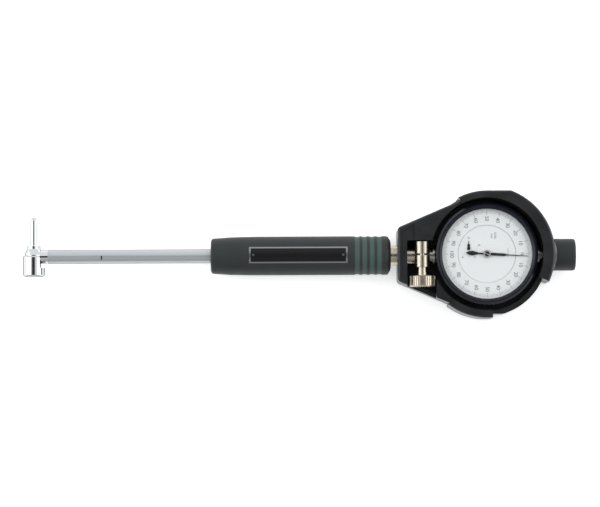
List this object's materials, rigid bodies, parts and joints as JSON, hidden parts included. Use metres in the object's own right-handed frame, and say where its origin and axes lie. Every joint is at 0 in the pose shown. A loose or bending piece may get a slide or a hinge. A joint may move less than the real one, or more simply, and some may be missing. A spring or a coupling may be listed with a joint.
{
  "type": "dial bore gauge",
  "caption": "Dial bore gauge: two-point measuring head with sprung guide, probe tube, grip, and a dial indicator clamped in a protective cover.",
  "frame": {"origin": "middle of the dial cover's back face, under the centre of the dial", "axes": "+X along the gauge to its end cap, so -X is the measuring head; +Y along the anvil; +Z out of the dial; the gauge lies on its back"},
  "size_m": [0.3117, 0.0713, 0.031],
  "materials": {
    "head_body": "polished chrome",
    "guide_sleeve": "polished chrome",
    "guide_pin": "ground steel",
    "guide_springs": "spring steel",
    "contact_point": "lapped steel",
    "bell_crank": "hardened steel",
    "bell_crank_pin": "ground steel",
    "anvil": "polished",
    "anvil_nut": "polished chrome",
    "probe_tube": "satin chrome",
    "rod_bushes": "turned",
    "push_rod": "ground steel",
    "rod_spring": "spring steel",
    "grip": "moulded, satin",
    "label_plate": "anodised, printed black",
    "holder": "nickel plated",
    "thumb_screw": "nickel plated, knurled",
    "dial_cover": "moulded, half gloss",
    "cover_screws": "black oxide",
    "cap_ring": "satin",
    "end_cap": "moulded, satin",
    "indicator_case": "black enamel",
    "case_back": "black enamel",
    "stem": "ground",
    "upper_bush": "turned",
    "spindle": "ground",
    "spindle_contact": "polished",
    "movement_plate": "satin",
    "bridge": "satin",
    "rack_pinion": "turned",
    "intermediate_arbor": "turned",
    "centre_arbor": "turned",
    "counter_arbor": "turned",
    "inner_dial": "printed, off-white",
    "dial_ring": "printed, off-white",
    "main_hand": "matt black",
    "counter_hand": "matt black",
    "bezel": "anodised near-black",
    "crystal": "clear"
  },
  "bodies": {
    "gauge": {"head_body": "head_body", "guide_pin": "guide_pin", "guide_springs": "guide_springs", "bell_crank_pin": "bell_crank_pin", "anvil": "anvil", "anvil_nut": "anvil_nut", "probe_tube": "probe_tube", "rod_bushes": "rod_bushes", "rod_spring": "rod_spring", "grip": "grip", "label_plate": "label_plate", "holder": "holder", "dial_cover": "dial_cover", "cover_screws": "cover_screws", "cap_ring": "cap_ring", "end_cap": "end_cap", "indicator_case": "indicator_case", "case_back": "case_back", "stem": "stem", "upper_bush": "upper_bush", "movement_plate": "movement_plate", "bridge": "bridge", "inner_dial": "inner_dial"},
    "guide": {"guide_sleeve": "guide_sleeve"},
    "contact": {"contact_point": "contact_point"},
    "crank": {"bell_crank": "bell_crank"},
    "rod": {"push_rod": "push_rod"},
    "spindle_unit": {"spindle": "spindle", "spindle_contact": "spindle_contact"},
    "first_gear": {"rack_pinion": "rack_pinion"},
    "second_gear": {"intermediate_arbor": "intermediate_arbor"},
    "hand": {"centre_arbor": "centre_arbor", "main_hand": "main_hand"},
    "counter": {"counter_arbor": "counter_arbor", "counter_hand": "counter_hand"},
    "bezel_unit": {"bezel": "bezel", "crystal": "crystal", "dial_ring": "dial_ring"},
    "clamp_screw": {"thumb_screw": "thumb_screw"}
  },
  "joints": [
    {"name": "spindle_slide", "type": "slide", "parent": "gauge", "child": "spindle_unit", "axis": [1, 0, 0], "range_m": [0, 0.001], "stiffness_N_per_m": 100},
    {"name": "hand_turn", "type": "hinge", "parent": "gauge", "child": "hand", "pos_m": [0, 0, 0.014], "axis": [0, 0, 1], "range_deg": [-1800, 0]},
    {"name": "rod_slide", "type": "slide", "parent": "gauge", "child": "rod", "axis": [1, 0, 0], "range_m": [0, 0.001], "stiffness_N_per_m": 60, "deforming": ["rod_spring"]},
    {"name": "contact_slide", "type": "slide", "parent": "gauge", "child": "contact", "axis": [0, 1, 0], "range_m": [0, 0.001]},
    {"name": "crank_swing", "type": "hinge", "parent": "gauge", "child": "crank", "pos_m": [-0.25265, -0.0024, 0.014], "axis": [0, 0, 1], "range_deg": [-24.05, 0]},
    {"name": "first_gear_turn", "type": "hinge", "parent": "gauge", "child": "first_gear", "pos_m": [-0.0065, -0.00319, 0.014], "axis": [0, 0, 1], "range_deg": [-36, 0]},
    {"name": "second_gear_turn", "type": "hinge", "parent": "gauge", "child": "second_gear", "pos_m": [0, -0.00432, 0.02], "axis": [0, 0, 1], "range_deg": [0, 360]},
    {"name": "counter_turn", "type": "hinge", "parent": "gauge", "child": "counter", "pos_m": [-0.0102, 0.0031, 0.024], "axis": [0, 0, 1], "range_deg": [0, 180]},
    {"name": "guide_slide", "type": "slide", "parent": "gauge", "child": "guide", "axis": [0, 1, 0], "range_m": [0, 0.0022], "stiffness_N_per_m": 300, "deforming": ["guide_springs"]},
    {"name": "bezel_turn", "type": "hinge", "parent": "gauge", "child": "bezel_unit", "pos_m": [0, 0, 0.025], "axis": [0, 0, 1], "continuous": true},
    {"name": "thumb_screw_turn", "type": "hinge", "parent": "gauge", "child": "clamp_screw", "pos_m": [-0.0361, 0, 0.023], "axis": [0, -1, 0], "range_deg": [0, 720]}
  ],
  "couplings": [
    {"joint": "hand_turn", "follows": "spindle_slide", "rad_per_m": -31416},
    {"joint": "rod_slide", "follows": "spindle_slide", "ratio": 1},
    {"joint": "contact_slide", "follows": "spindle_slide", "ratio": 1},
    {"joint": "crank_swing", "follows": "spindle_slide", "rad_per_m": -419.74},
    {"joint": "first_gear_turn", "follows": "spindle_slide", "rad_per_m": -628.32},
    {"joint": "second_gear_turn", "follows": "spindle_slide", "rad_per_m": 6283.2},
    {"joint": "counter_turn", "follows": "spindle_slide", "rad_per_m": 3141.6}
  ]
}
